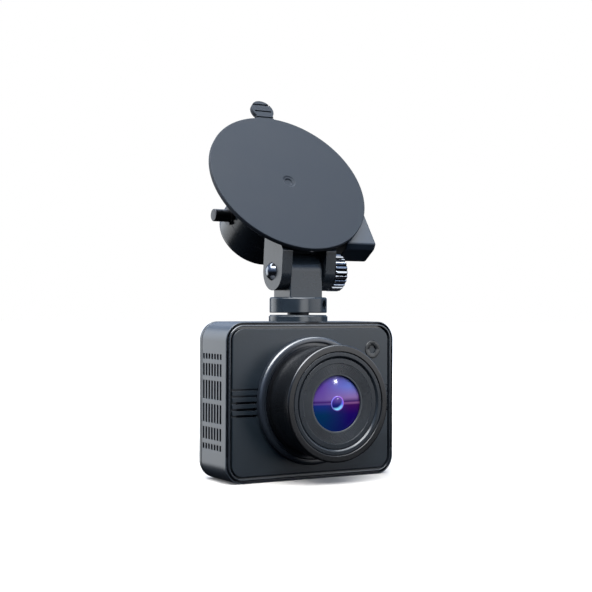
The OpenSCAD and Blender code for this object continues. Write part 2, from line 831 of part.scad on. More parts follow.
// Stud that the lever's cam pulls: head in the cup, stem, and a yoke round the cam
module cup_stud() {
    window_y = cam_r + stud_travel + 0.4;
    window_z = cam_r + yoke_play;
    yoke_z = -pin_reach - stud_travel;
    color([0.75, 0.76, 0.78]) cup_frame() difference() {
        union() {
            translate([0, 0, flange_z + 0.1]) cylinder(r = stud_head_r, h = stud_head_t);
            translate([0, 0, yoke_z + window_z]) cylinder(r = stem_r, h = flange_z + 0.5 - yoke_z - window_z);
            translate([-yoke_half, -window_y - yoke_wall, yoke_z - window_z - yoke_wall])
                cube([2 * yoke_half, 2 * (window_y + yoke_wall), 2 * (window_z + yoke_wall)]);
        }
        translate([-10, -window_y, yoke_z - window_z]) cube([20, 2 * window_y, 2 * window_z]);
    }
}

module lever_pin() {
    color([0.08, 0.09, 0.11]) cup_frame() translate([0, 0, -pin_reach]) x_rod(pin_r, pin_left, lever_out - 1.5);
}

module pin_clip() {
    color([0.5, 0.5, 0.52]) cup_frame() translate([0, 0, -pin_reach]) difference() {
        x_rod(pin_r + 1.2, -drum_r - 1, -drum_r - 0.4);
        x_rod(pin_r, -30, 30);
        translate([-drum_r - 2, -pin_r - 4, -0.9]) cube([3, 5, 1.8]);
    }
}

module pin_cam() {
    color([0.8, 0.8, 0.78]) cup_frame() translate([0, 0, -pin_reach]) difference() {
        translate([0, 0, -stud_travel]) x_rod(cam_r, -cam_half, cam_half);
        x_rod(pin_r, -10, 10);
    }
}

module lever_paddle() {
    color([0.36, 0.39, 0.44]) cup_frame() difference() {
        union() {
            translate([lever_in, 0, 0]) rotate([90, 0, 90]) linear_extrude(lever_out - lever_in) polygon([
                [paddle_low, -5.4], [paddle_low + 1.1, paddle_front], [-4, paddle_front], [3.4, -10],
                [hub_r, -pin_reach], [-hub_r, -pin_reach], [-11, paddle_back], [paddle_low, paddle_back]
            ]);
            translate([0, 0, -pin_reach]) x_rod(hub_r, hub_in, lever_out);
        }
        translate([0, 0, -pin_reach]) x_rod(pin_r, 0, lever_out - 1.5);
    }
}

main_shell();
front_cover();
front_panel();
rear_cover();
emblem();
lens_flange();
lens_barrel();
trim_ring();
retaining_ring();
lens_baffle();
front_lens();
middle_lens();
rear_lens();
aperture_stop();
lens_cell();
sensor_holder();
ir_filter();
image_sensor();
sensor_board();
main_board();
processor();
board_shield();
backup_cell();
display();
screen_cover();
speaker();
microphone();
card_socket();
memory_card();
power_socket();
menu_key();
up_key();
down_key();
ok_key();
key_board();
key_switches();
reset_button();
body_screws();
foot_ring();
spindle();
spindle_washer();
spindle_screw();
swivel_collar();
set_screw();
mount_housing();
housing_cap();
housing_screw();
clamp_bolt();
clamp_washer();
clamp_knob();
knob_nut();
suction_cup();
cup_stud();
lever_pin();
pin_clip();
pin_cam();
lever_paddle();
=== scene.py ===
import json
import math

import bmesh
import bpy
from mathutils import Matrix, Vector


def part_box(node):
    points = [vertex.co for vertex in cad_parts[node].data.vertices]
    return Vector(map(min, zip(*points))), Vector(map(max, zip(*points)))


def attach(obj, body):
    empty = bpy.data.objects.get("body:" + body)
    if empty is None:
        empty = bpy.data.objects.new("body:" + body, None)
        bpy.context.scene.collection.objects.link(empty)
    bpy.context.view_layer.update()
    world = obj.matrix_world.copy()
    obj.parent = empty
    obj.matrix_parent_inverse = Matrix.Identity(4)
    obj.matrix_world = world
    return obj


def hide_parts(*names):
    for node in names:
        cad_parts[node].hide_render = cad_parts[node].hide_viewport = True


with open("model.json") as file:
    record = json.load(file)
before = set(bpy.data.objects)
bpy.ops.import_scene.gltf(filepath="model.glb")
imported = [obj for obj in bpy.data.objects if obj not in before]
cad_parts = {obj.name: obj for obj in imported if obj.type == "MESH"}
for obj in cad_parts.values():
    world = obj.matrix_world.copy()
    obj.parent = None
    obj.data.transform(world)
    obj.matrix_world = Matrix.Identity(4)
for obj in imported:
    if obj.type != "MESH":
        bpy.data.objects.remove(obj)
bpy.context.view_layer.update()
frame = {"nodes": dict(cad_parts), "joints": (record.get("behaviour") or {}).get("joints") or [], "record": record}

# Dash camera on a suction mount. Blender works in metres; shapes here are drawn in millimetres.
MM = 0.001
NODE_BODY = {n: b for b, nodes in frame["record"]["behaviour"]["bodies"].items() for n in nodes}


# ---------- places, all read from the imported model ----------

def box_mm(node):
    """A node's lowest and highest corners in millimetres."""
    low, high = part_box(node)
    return low / MM, high / MM


def middle_mm(node):
    """The middle of a node's box in millimetres."""
    low, high = box_mm(node)
    return (low + high) / 2


def named(rows, name):
    """The row of that name among the record's joints or mounts."""
    return next(row for row in rows if row["name"] == name)


shell_low, shell_high = box_mm("main_shell")
BODY_W = shell_high.x - shell_low.x
BODY_H = shell_high.z - shell_low.z
MID_Z = BODY_H / 2
CORNER_R = 6.5
WALL = 1.6

# Layers of the body: distances f in front of its middle
SHELL_LIP = -shell_low.y
SHELL_REAR = -shell_high.y
FRONT = -box_mm("front_cover")[0].y
SHELL_FRONT = FRONT - 1.8
COVER_BACK = FRONT - 3
PANEL = -box_mm("front_panel")[0].y
PANEL_BACK = -box_mm("front_panel")[1].y
REAR = -box_mm("rear_cover")[1].y
REAR_RIM = REAR + 2.2
LENS_REACH = -box_mm("lens_barrel")[0].y
RIM_R = box_mm("lens_barrel")[1].x
FLANGE_R = box_mm("lens_flange")[1].x
BARREL_R = RIM_R - 0.7
GLASS_R = 9.35
RING_IN = BODY_W / 2 - box_mm("front_cover")[1].x
PANEL_IN = BODY_W / 2 - box_mm("front_panel")[1].x

# Frames: local axes of each group of parts, in millimetres
FACE = Matrix.Rotation(math.radians(90), 4, "X")  # x to the right, y up, height towards the front
LENS = Matrix.Translation((0, 0, MID_Z)) @ FACE
SIDE = Matrix(((0, 0, -1, 0), (-1, 0, 0, 0), (0, 1, 0, 0), (0, 0, 0, 1)))
UPRIGHT = Matrix()
ALONG_X = Matrix(((0, 0, 1, 0), (1, 0, 0, 0), (0, 1, 0, 0), (0, 0, 0, 1)))
PIVOT_Z = named(frame["joints"], "mount_tilt")["pos_m"][2] / MM
PIVOT = Matrix.Translation((0, 0, PIVOT_Z)) @ Matrix.Rotation(math.radians(90), 4, "Y")
cup_face = named(frame["record"]["mounts"], "suction_face")
CUP = (
    Matrix.Translation(Vector(cup_face["pos_m"]) / MM)
    @ Vector((0, 0, 1)).rotation_difference(Vector(cup_face["axis"])).to_matrix().to_4x4()
)
PIN_REACH = -(CUP.inverted() @ (Vector(named(frame["joints"], "lever_swing")["pos_m"]) / MM)).z
CUP_ALONG_X = CUP @ ALONG_X
PIN_AXIS = CUP_ALONG_X @ Matrix.Translation((0, -PIN_REACH, 0))


# ---------- shape tools ----------

ARC_STEP = math.radians(12)
TURN_STEPS = 128


def rounded(points):
    """The points of a profile, with an arc at each point that carries a radius as its third value."""
    out = []
    for i, point in enumerate(points):
        here = Vector(point[:2])
        radius = point[2] if len(point) > 2 else 0
        if not radius:
            out.append(here)
            continue
        before = Vector(points[i - 1][:2]) - here
        after = Vector(points[(i + 1) % len(points)][:2]) - here
        half = before.angle(after) / 2
        reach = min(radius / math.tan(half), 0.49 * before.length, 0.49 * after.length)
        radius = reach * math.tan(half)
        centre = here + (before.normalized() + after.normalized()).normalized() * (radius / math.sin(half))
        turn = math.pi - 2 * half
        sign = 1 if before.cross(after) < 0 else -1
        steps = max(2, math.ceil(turn / ARC_STEP))
        start = here + before.normalized() * reach - centre
        for k in range(steps + 1):
            out.append(centre + Matrix.Rotation(sign * turn * k / steps, 2) @ start)
    return out


def arc(centre, radius, start, end, steps):
    """Points along a circle, from one angle in degrees to another."""
    angles = [math.radians(start + (end - start) * k / steps) for k in range(steps + 1)]
    return [(centre[0] + radius * math.cos(a), centre[1] + radius * math.sin(a)) for a in angles]


def rounded_rect(half_w, half_h, radius, centre=(0, 0), steps=12):
    """Outline of a rectangle with round corners, anticlockwise."""
    out = []
    for k, (x, y) in enumerate([(1, 1), (-1, 1), (-1, -1), (1, -1)]):
        middle = (centre[0] + x * (half_w - radius), centre[1] + y * (half_h - radius))
        out += arc(middle, radius, 90 * k, 90 * k + 90, steps)
    return out


def body_outline(inset):
    """The body's outline seen from the front, moved in by an inset."""
    return rounded_rect(BODY_W / 2 - inset, BODY_H / 2 - inset, CORNER_R - inset, (0, MID_Z))


def mesh_piece(name, points, faces, place):
    """A piece from points in millimetres in a local frame, with doubled points joined."""
    mesh = bpy.data.meshes.new(name)
    mesh.from_pydata([(place @ Vector(p)) * MM for p in points], [], faces)
    shape = bmesh.new()
    shape.from_mesh(mesh)
    bmesh.ops.remove_doubles(shape, verts=shape.verts, dist=1e-7)
    bmesh.ops.recalc_face_normals(shape, faces=shape.faces)
    for face in shape.faces:
        face.smooth = True
    shape.to_mesh(mesh)
    shape.free()
    piece = bpy.data.objects.new(name, mesh)
    bpy.context.scene.collection.objects.link(piece)
    return piece


def skin(name, rings, place, looped):
    """A piece skinned over rings of points: the rings make a loop, or a row with a lid at each end."""
    count = len(rings[0])
    faces = []
    for i in range(len(rings) if looped else len(rings) - 1):
        a, b = i * count, (i + 1) % len(rings) * count
        faces += [(a + k, a + (k + 1) % count, b + (k + 1) % count, b + k) for k in range(count)]
    if not looped:
        last = (len(rings) - 1) * count
        lids = [(rings[0], list(range(count))[::-1]), (rings[-1], list(range(last, last + count)))]
        faces += [lid for ring, lid in lids if (Vector(ring[0]) - Vector(ring[1])).length > 1e-6]
    return mesh_piece(name, [p for ring in rings for p in ring], faces, place)


def turned(name, profile, place, looped=True, steps=TURN_STEPS):
    """A turned piece from a profile of (radius, height, corner radius)."""
    spin = [(math.cos(math.tau * k / steps), math.sin(math.tau * k / steps)) for k in range(steps)]
    rings = [[(r * c, r * s, h) for c, s in spin] for r, h in rounded(profile)]
    return skin(name, rings, place, looped)


def framed(name, profile, looped=True):
    """A piece swept round the body's outline from a profile of (inset, f, corner radius)."""
    rings = [[(x, y, f) for x, y in body_outline(inset)] for inset, f in rounded(profile)]
    return skin(name, rings, FACE, looped)


def slabs(name, outlines, low, high, place):
    """One piece of straight slabs, each with an outline of its own."""
    points, faces = [], []
    for outline in outlines:
        first, count = len(points), len(outline)
        points += [(x, y, h) for h in (low, high) for x, y in outline]
        faces += [
            (first + k, first + (k + 1) % count, first + count + (k + 1) % count, first + count + k)
            for k in range(count)
        ]
        faces += [tuple(range(first, first + count))[::-1], tuple(range(first + count, first + 2 * count))]
    return mesh_piece(name, points, faces, place)


def rectangle(x0, x1, y0, y1):
    return [(x0, y0), (x1, y0), (x1, y1), (x0, y1)]


def circle(radius, centre=(0, 0), steps=64):
    return arc(centre, radius, 0, 360 * (1 - 1 / steps), steps - 1)


def settle(piece):
    """Applies the piece's modifiers to its mesh."""
    bpy.context.view_layer.update()
    done = bpy.data.meshes.new_from_object(piece.evaluated_get(bpy.context.evaluated_depsgraph_get()))
    piece.modifiers.clear()
    piece.data = done
    done.polygons.foreach_set("use_smooth", [True] * len(done.polygons))


def combine(piece, operation, *others):
    """Cuts other pieces from a piece, or joins them to it, and removes them."""
    for other in others:
        step = piece.modifiers.new(operation, "BOOLEAN")
        step.operation = operation
        step.solver = "EXACT"
        step.object = other
        settle(piece)
        bpy.data.objects.remove(other)
    return piece


def soften(piece, width, angle=30, segments=2):
    """Rounds the sharp edges by a small radius in millimetres, and keeps flat faces flat in shading."""
    bevel = piece.modifiers.new("soft_edges", "BEVEL")
    bevel.width = width * MM
    bevel.segments = segments
    bevel.limit_method = "ANGLE"
    bevel.angle_limit = math.radians(angle)
    bevel.miter_outer = "MITER_ARC"
    return flat_faces(piece)


def flat_faces(piece):
    """Shades large faces by their own direction, so that only the small rounded edges turn."""
    normals = piece.modifiers.new("flat_faces", "WEIGHTED_NORMAL")
    normals.weight = 100
    normals.keep_sharp = True
    return piece


def crease(piece, angle=40):
    """Smooth shading that breaks at edges sharper than an angle."""
    piece.data.set_sharp_from_angle(angle=math.radians(angle))
    return flat_faces(piece)


# ---------- materials ----------

def node_tree(name):
    """A material with only its Principled shader, and shortcuts to its nodes and links."""
    finish = bpy.data.materials.new(name)
    finish.use_nodes = True
    nodes, links = finish.node_tree.nodes, finish.node_tree.links
    return finish, nodes, links, nodes["Principled BSDF"]


def feed(links, socket, value):
    """Links an output into a socket, or sets a colour or a number on it."""
    if isinstance(value, bpy.types.NodeSocket):
        links.new(value, socket)
    elif isinstance(value, (tuple, list)):
        socket.default_value = (*value, 1)
    else:
        socket.default_value = value


def texture_space(nodes):
    return nodes.new("ShaderNodeTexCoord").outputs["Object"]


def noise(nodes, links, grain):
    """Noise in the object's own space, whose features are about grain millimetres across."""
    texture = nodes.new("ShaderNodeTexNoise")
    texture.inputs["Scale"].default_value = 1 / (grain * MM)
    texture.inputs["Detail"].default_value = 3
    links.new(texture_space(nodes), texture.inputs["Vector"])
    return texture.outputs["Fac"]


def ranged(nodes, links, value, low, high, from_low=0.3, from_high=0.7):
    """A value spread over a range."""
    spread = nodes.new("ShaderNodeMapRange")
    spread.inputs["From Min"].default_value = from_low
    spread.inputs["From Max"].default_value = from_high
    spread.inputs["To Min"].default_value = low
    spread.inputs["To Max"].default_value = high
    links.new(value, spread.inputs["Value"])
    return spread.outputs["Result"]


def mixed(nodes, links, share, first, second):
    """Two colours, each linked or given, mixed by a linked share."""
    mix = nodes.new("ShaderNodeMix")
    mix.data_type = "RGBA"
    feed(links, mix.inputs["Factor"], share)
    feed(links, mix.inputs["A"], first)
    feed(links, mix.inputs["B"], second)
    return mix.outputs["Result"]


def calc(nodes, links, operation, *values):
    """The result of a math node on numbers or outputs."""
    step = nodes.new("ShaderNodeMath")
    step.operation = operation
    for socket, value in zip(step.inputs, values):
        feed(links, socket, value)
    return step.outputs["Value"]


def away_from(nodes, links, centre, counted):
    """Distance from a point in millimetres along the axes that are counted, each 1 or 0."""
    off = nodes.new("ShaderNodeMapping")
    off.inputs["Location"].default_value = [-c * MM for c in centre]
    off.inputs["Scale"].default_value = counted
    links.new(texture_space(nodes), off.inputs["Vector"])
    far = nodes.new("ShaderNodeVectorMath")
    far.operation = "LENGTH"
    links.new(off.outputs["Vector"], far.inputs[0])
    return far.outputs["Value"]


def bump(nodes, links, shader, height, depth):
    """Relief from a height of 0 to 1, that is depth millimetres deep."""
    relief = nodes.new("ShaderNodeBump")
    relief.inputs["Strength"].default_value = 1
    relief.inputs["Distance"].default_value = depth * MM
    links.new(height, relief.inputs["Height"])
    links.new(relief.outputs["Normal"], shader.inputs["Normal"])


def moulded(name, colour, roughness, grain=0.3, depth=0.0004, cloud=9, shift=0.12, metallic=0, specular=0.5):
    """Moulded plastic or metal: cloudy tone, uneven gloss and a fine grain."""
    finish, nodes, links, shader = node_tree(name)
    cloudy = noise(nodes, links, cloud)
    tone = ranged(nodes, links, cloudy, 0, 1)
    darker = [c * (1 - shift) for c in colour]
    lighter = [c * (1 + shift) for c in colour]
    links.new(mixed(nodes, links, tone, darker, lighter), shader.inputs["Base Color"])
    fine = noise(nodes, links, grain)
    gloss = ranged(nodes, links, cloudy, roughness * 0.95, roughness * 1.05)
    links.new(gloss, shader.inputs["Roughness"])
    shader.inputs["Metallic"].default_value = metallic
    shader.inputs["Specular IOR Level"].default_value = specular
    bump(nodes, links, shader, fine, depth)
    return finish


def ribbed(name, colour, roughness):
    """Plated ribs on a turned knob, with painted shade: near-black in the grooves between them."""
    finish = moulded(name, colour, roughness, metallic=1)
    nodes, links = finish.node_tree.nodes, finish.node_tree.links
    shader = nodes["Principled BSDF"]
    from_axis = away_from(nodes, links, (0, 0, PIVOT_Z), (0, 1, 1))
    crest = ranged(nodes, links, from_axis, 0, 1, 6.2 * MM, 6.5 * MM)
    # painted shade: near-black in the grooves, closer than 6.2 mm to the axis
    links.new(mixed(nodes, links, crest, (0.012, 0.013, 0.015), colour), shader.inputs["Base Color"])
    return finish


def vented(name, colour, roughness):
    """Satin shell with painted shade: near-black and without gloss inside its walls and in the depth of its vents.
    """
    finish = moulded(name, colour, roughness)
    nodes, links = finish.node_tree.nodes, finish.node_tree.links
    shader = nodes["Principled BSDF"]
    split = nodes.new("ShaderNodeSeparateXYZ")
    links.new(texture_space(nodes), split.inputs["Vector"])
    aside = calc(nodes, links, "ABSOLUTE", split.outputs["X"])
    above = calc(nodes, links, "ABSOLUTE", calc(nodes, links, "SUBTRACT", split.outputs["Z"], MID_Z * MM))
    among_vents = calc(nodes, links, "LESS_THAN", above, 0.66 * MID_Z * MM)
    skin_x = BODY_W / 2
    deep = ranged(nodes, links, aside, 1, 0, (skin_x - 0.3) * MM, (skin_x - 0.12) * MM)
    # painted shade: near-black, with its gloss taken away, deeper than 0.3 mm inside the skin among the vents
    dark = calc(nodes, links, "MULTIPLY", deep, among_vents)
    tone = shader.inputs["Base Color"].links[0].from_socket
    links.new(mixed(nodes, links, dark, tone, (0.001, 0.001, 0.001)), shader.inputs["Base Color"])
    links.new(ranged(nodes, links, dark, 0.5, 0, 0, 1), shader.inputs["Specular IOR Level"])
    return finish


def rubber(name, colour):
    """Matt rubber: soft sheen, powdery fine grain and faint rubbed patches."""
    finish = moulded(name, colour, 0.62, depth=0.006, cloud=14, shift=0.05, specular=0.12)
    shader = finish.node_tree.nodes["Principled BSDF"]
    shader.inputs["Sheen Weight"].default_value = 0.03
    shader.inputs["Sheen Roughness"].default_value = 0.5
    return finish


def ramp(nodes, links, value, stops):
    """Colours along a value, from (place, colour) stops."""
    blend = nodes.new("ShaderNodeValToRGB")
    marks = blend.color_ramp.elements
    for k, (place, colour) in enumerate(stops):
        mark = marks[k] if k < 2 else marks.new(place)
        mark.position = place
        mark.color = (*colour, 1)
    links.new(value, blend.inputs["Fac"])
    return blend.outputs["Color"]


def coated_glass(name):
    """Front element: its colour is the lens coat's tint with painted reflection on it: violet above, deep blue
    below, a painted horizon band across the middle, and a small inner dome with a painted bright ring and a
    painted cyan crescent.
    """
    finish, nodes, links, shader = node_tree(name)
    split = nodes.new("ShaderNodeSeparateXYZ")
    links.new(texture_space(nodes), split.inputs["Vector"])
    rise = ranged(nodes, links, split.outputs["Z"], 0, 1, (MID_Z - GLASS_R) * MM, (MID_Z + GLASS_R) * MM)
    across = ranged(nodes, links, split.outputs["X"], 0, 1, -GLASS_R * MM, GLASS_R * MM)
    # coat tint with painted reflection: lighter above, darker below, with a thin painted horizon band near the
    # middle
    left = ramp(nodes, links, rise, [
        (0, (0.002, 0.016, 0.07)), (1, (0.032, 0.014, 0.15)), (0.3, (0.001, 0.018, 0.055)),
        (0.47, (0.006, 0.014, 0.10)), (0.5, (0.06, 0.035, 0.14)), (0.525, (0.022, 0.006, 0.07)),
        (0.57, (0.075, 0.04, 0.16)), (0.8, (0.052, 0.022, 0.15)),
    ])
    right = ramp(nodes, links, rise, [
        (0, (0.004, 0.003, 0.07)), (1, (0.025, 0.03, 0.17)), (0.3, (0.008, 0.002, 0.07)),
        (0.47, (0.028, 0.003, 0.055)), (0.505, (0.14, 0.05, 0.14)), (0.53, (0.025, 0.005, 0.06)),
        (0.6, (0.12, 0.06, 0.18)), (0.8, (0.055, 0.075, 0.26)),
    ])
    coating_and_painted_reflection = mixed(nodes, links, ranged(nodes, links, across, 0, 1, 0.25, 0.75), left, right)
    # painted reflection in the small inner dome: a cyan crescent low down
    off_axis = away_from(nodes, links, (-1.1, 0, MID_Z + 1.3), (1, 0, 1))
    eye_painted_reflection = mixed(
        nodes, links, ranged(nodes, links, off_axis, 0, 1, 2.5 * MM, 3.2 * MM),
        ramp(nodes, links, rise, [(0.46, (0.004, 0.008, 0.09)), (0.58, (0.045, 0.02, 0.13))]),
        ramp(nodes, links, rise, [(0.4, (0.25, 0.65, 0.85)), (0.5, (0.08, 0.08, 0.5))]),
    )
    from_axis = away_from(nodes, links, (0, 0, MID_Z), (1, 0, 1))
    # painted highlight: a bright ring at the inner dome's edge
    eye_with_painted_ring = mixed(
        nodes, links, ranged(nodes, links, from_axis, 0, 1, 2.15 * MM, 2.27 * MM), eye_painted_reflection,
        ramp(nodes, links, across, [(0.38, (0.12, 0.12, 0.45)), (0.62, (0.22, 0.06, 0.38))]),
    )
    whole = mixed(nodes, links, ranged(nodes, links, from_axis, 0, 1, 2.45 * MM, 2.55 * MM), eye_with_painted_ring, coating_and_painted_reflection)
    links.new(whole, shader.inputs["Base Color"])
    dust = ranged(nodes, links, noise(nodes, links, 1.2), 0.07, 0.12)
    links.new(dust, shader.inputs["Roughness"])
    shader.inputs["Specular IOR Level"].default_value = 0.12
    return finish


def clear_glass(name, tint):
    """Tinted glass of the inner lenses and the filter."""
    finish, nodes, links, shader = node_tree(name)
    links.new(ranged(nodes, links, noise(nodes, links, 2), 0.02, 0.05), shader.inputs["Roughness"])
    shader.inputs["Base Color"].default_value = (*tint, 1)
    shader.inputs["Transmission Weight"].default_value = 0.85
    shader.inputs["IOR"].default_value = 1.6
    return finish


def circuit(name):
    """Solder mask over copper: a grid of tracks under a green gloss."""
    finish, nodes, links, shader = node_tree(name)
    tracks = nodes.new("ShaderNodeTexBrick")
    tracks.inputs["Scale"].default_value = 1 / (1.1 * MM)
    tracks.inputs["Mortar Size"].default_value = 0.09
    tracks.inputs["Color1"].default_value = (0.012, 0.07, 0.035, 1)
    tracks.inputs["Color2"].default_value = (0.015, 0.085, 0.04, 1)
    tracks.inputs["Mortar"].default_value = (0.03, 0.16, 0.07, 1)
    turn = nodes.new("ShaderNodeMapping")
    turn.inputs["Rotation"].default_value = (math.radians(90), 0, 0)
    links.new(texture_space(nodes), turn.inputs["Vector"])
    links.new(turn.outputs["Vector"], tracks.inputs["Vector"])
    links.new(tracks.outputs["Color"], shader.inputs["Base Color"])
    links.new(ranged(nodes, links, noise(nodes, links, 0.6), 0.28, 0.4), shader.inputs["Roughness"])
    bump(nodes, links, shader, tracks.outputs["Fac"], 0.02)
    return finish


FINISHES = {
    "shell_plastic": vented("shell_plastic", (0.016, 0.021, 0.028), 0.36),
    "cover_plastic": moulded("cover_plastic", (0.012, 0.0145, 0.018), 0.2, specular=0.8),
    "panel_plastic": moulded("panel_plastic", (0.0085, 0.0125, 0.0165), 0.3),
    "rear_plastic": moulded("rear_plastic", (0.014, 0.0165, 0.019), 0.4),
    "emblem_black": moulded("emblem_black", (0.008, 0.009, 0.010), 0.25),
    "flange_plastic": moulded("flange_plastic", (0.010, 0.013, 0.018), 0.3, specular=1),
    "barrel_black": moulded("barrel_black", (0.0028, 0.003, 0.0035), 0.24, depth=0.0002, specular=0.6),
    "ring_black": moulded("ring_black", (0.010, 0.0125, 0.0155), 0.24, specular=0.42),
    "baffle_black": moulded("baffle_black", (0.023, 0.026, 0.030), 0.34),
    "coated_glass": coated_glass("coated_glass"),
    "optic_glass": clear_glass("optic_glass", (0.55, 0.5, 0.95)),
    "cell_black": moulded("cell_black", (0.010, 0.010, 0.012), 0.5),
    "board_green": circuit("board_green"),
    "chip_black": moulded("chip_black", (0.016, 0.016, 0.018), 0.55),
    "tin": moulded("tin", (0.35, 0.35, 0.36), 0.32, metallic=1, grain=0.8),
    "cell_foil": moulded("cell_foil", (0.10, 0.105, 0.115), 0.5, metallic=1, grain=2.5, depth=0.05),
    "display_black": moulded("display_black", (0.006, 0.006, 0.008), 0.2),
    "screen_glass": moulded("screen_glass", (0.005, 0.006, 0.008), 0.07, depth=0.001, cloud=25),
    "key_black": moulded("key_black", (0.014, 0.015, 0.017), 0.4),
    "screw_black": moulded("screw_black", (0.03, 0.03, 0.033), 0.35, metallic=1),
    "collar_plastic": moulded("collar_plastic", (0.0095, 0.0135, 0.018), 0.26, specular=0.45),
    "steel": moulded("steel", (0.17, 0.18, 0.20), 0.2, metallic=1, grain=0.8, depth=0.0006),
    "brass": moulded("brass", (0.62, 0.48, 0.2), 0.3, metallic=1, grain=0.8),
    "mount_plastic": moulded("mount_plastic", (0.0085, 0.0115, 0.015), 0.27, specular=0.4),
    "bolt_steel": moulded("bolt_steel", (0.17, 0.18, 0.20), 0.2, metallic=1, grain=0.8, depth=0.0006),
    "knob_plastic": ribbed("knob_plastic", (0.36, 0.38, 0.41), 0.16),
    "cup_rubber": rubber("cup_rubber", (0.0078, 0.0108, 0.0155)),
    "stud_plastic": moulded("stud_plastic", (0.5, 0.51, 0.52), 0.45),
    "lever_plastic": moulded("lever_plastic", (0.009, 0.014, 0.022), 0.34, specular=0.26),
}

for cad_node in frame["nodes"].values():
    for holder in cad_node.material_slots:
        holder.material = FINISHES[holder.material.name]


def dress(piece, *nodes, slot):
    """Gives a piece its finish, and lets it stand for CAD nodes on their body."""
    piece.data.materials.clear()
    piece.data.materials.append(FINISHES[slot])
    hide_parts(*nodes)
    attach(piece, NODE_BODY[nodes[0]])


# ---------- camera body ----------

VENT_PITCH = 2.1
VENT_W = 1.1
VENT_MIDDLE = -0.25
VENT_ROWS = [(3.95, 6.4), (10.75, 4.2), (15.25, 1.95)]  # distance from the middle, height
CARD_GAP = 0.25
RESET_HOLE_R = 1.1
FOOT_BOSS_R = 6.6
BEZEL_W = 0.62
POST_R = 2.4
POST_X = BODY_W / 2 - 4.9
POST_DZ = BODY_H / 2 - 5
POSTS = [(x * POST_X, MID_Z + z * POST_DZ) for x in (-1, 1) for z in (-1, 1)]
FIT_IN = WALL + 0.1
GROOVE_PITCH = 2.2
GROOVE_H = 0.65
GROOVE_HEIGHTS = [MID_Z + k * GROOVE_PITCH for k in range(-2, 3)]
SLOT_X = (-29.5, -21.9)
SLOT_H = 0.85
KEY_PIECES = {"menu_key": "key_menu", "up_key": "key_up", "down_key": "key_down", "ok_key": "key_ok"}


def speaker_slots(low, high):
    """Cutters for the three slots in front of the loudspeaker."""
    bars = [rectangle(*SLOT_X, z - SLOT_H / 2, z + SLOT_H / 2) for z in GROOVE_HEIGHTS[:3]]
    return slabs("slots", bars, low, high, FACE)


def lens_hole(low, high):
    """Cutter for the opening that the barrel passes through."""
    return slabs("hole", [circle(BARREL_R + 0.05, steps=TURN_STEPS)], low, high, LENS)


def make_main_shell():
    """Tube of the housing, with the side vents and the openings in its top and bottom."""
    shell = framed("housing_shell", [
        (WALL, SHELL_REAR), (0, SHELL_REAR, 0.18), (0, SHELL_LIP, 0.22), (0.35, SHELL_LIP, 0.08),
        (0.35, SHELL_FRONT), (WALL, SHELL_FRONT),
    ])
    vents = []
    for column in range(-3, 4):
        for offset, height in VENT_ROWS:
            for side in (-1, 1):
                centre = (VENT_MIDDLE + column * VENT_PITCH, MID_Z + side * offset)
                vents.append(rounded_rect(VENT_W / 2, height / 2, 0.3, centre, 4))
    card_low, card_high = box_mm("memory_card")
    card_x = (card_low.x - CARD_GAP, card_high.x + CARD_GAP)
    card_y = (card_low.y - CARD_GAP, card_high.y + CARD_GAP)
    reset = middle_mm("reset_button")
    bottom = [rectangle(*card_x, *card_y), circle(RESET_HOLE_R, (reset.x, reset.y))]
    inlet = Vector(named(frame["record"]["mounts"], "power_inlet")["pos_m"]) / MM
    top = [circle(FOOT_BOSS_R), rounded_rect(4.6, 2.1, 0.8, (inlet.x, inlet.y), 5)]
    combine(
        shell, "DIFFERENCE",
        slabs("vents", vents, -BODY_W, BODY_W, SIDE),
        slabs("bottom", bottom, -1, WALL + 1, UPRIGHT),
        slabs("top", top, BODY_H - WALL - 1, BODY_H + 1, UPRIGHT),
    )
    dress(soften(shell, 0.12), "main_shell", slot="shell_plastic")


def make_front_cover():
    """Bezel ring, the plate behind the panel, and the screw posts."""
    cover = framed("front_bezel", [
        (FIT_IN, COVER_BACK), (FIT_IN, SHELL_FRONT), (RING_IN, SHELL_FRONT), (RING_IN, FRONT, 0.42),
        (RING_IN + BEZEL_W, FRONT, 0.16), (RING_IN + BEZEL_W, PANEL_BACK),
    ], looped=False)
    posts = slabs("posts", [circle(POST_R, p, 32) for p in POSTS], REAR + 3.4, COVER_BACK + 0.1, FACE)
    holes = slabs("holes", [circle(0.8, p, 24) for p in POSTS], REAR, COVER_BACK + 0.3, FACE)
    combine(cover, "UNION", posts)
    combine(cover, "DIFFERENCE", holes, lens_hole(0, FRONT), speaker_slots(COVER_BACK - 1, FRONT))
    dress(soften(cover, 0.08), "front_cover", slot="cover_plastic")


def make_front_panel():
    """Recessed panel with five grooves each side of the lens and the loudspeaker's slots."""
    panel = framed("front_face_panel", [
        (PANEL_IN, PANEL_BACK), (PANEL_IN, PANEL, 0.3), (PANEL_IN + 2, PANEL),
    ], looped=False)
    grooves = [
        rectangle(x - 12, x + 12, z - GROOVE_H / 2, z + GROOVE_H / 2)
        for z in GROOVE_HEIGHTS for x in (-29, 29)
    ]
    emblem = middle_mm("emblem")
    seat_r = box_mm("emblem")[1].x - emblem.x + 0.05
    seat = slabs("seat", [circle(seat_r, (emblem.x, emblem.z), 48)], PANEL - 0.3, FRONT + 1, FACE)
    combine(
        panel, "DIFFERENCE",
        lens_hole(0, FRONT + 1), slabs("grooves", grooves, PANEL - 0.5, FRONT + 1, FACE),
        speaker_slots(PANEL_BACK - 1, FRONT), seat,
    )
    dress(soften(panel, 0.09), "front_panel", slot="panel_plastic")


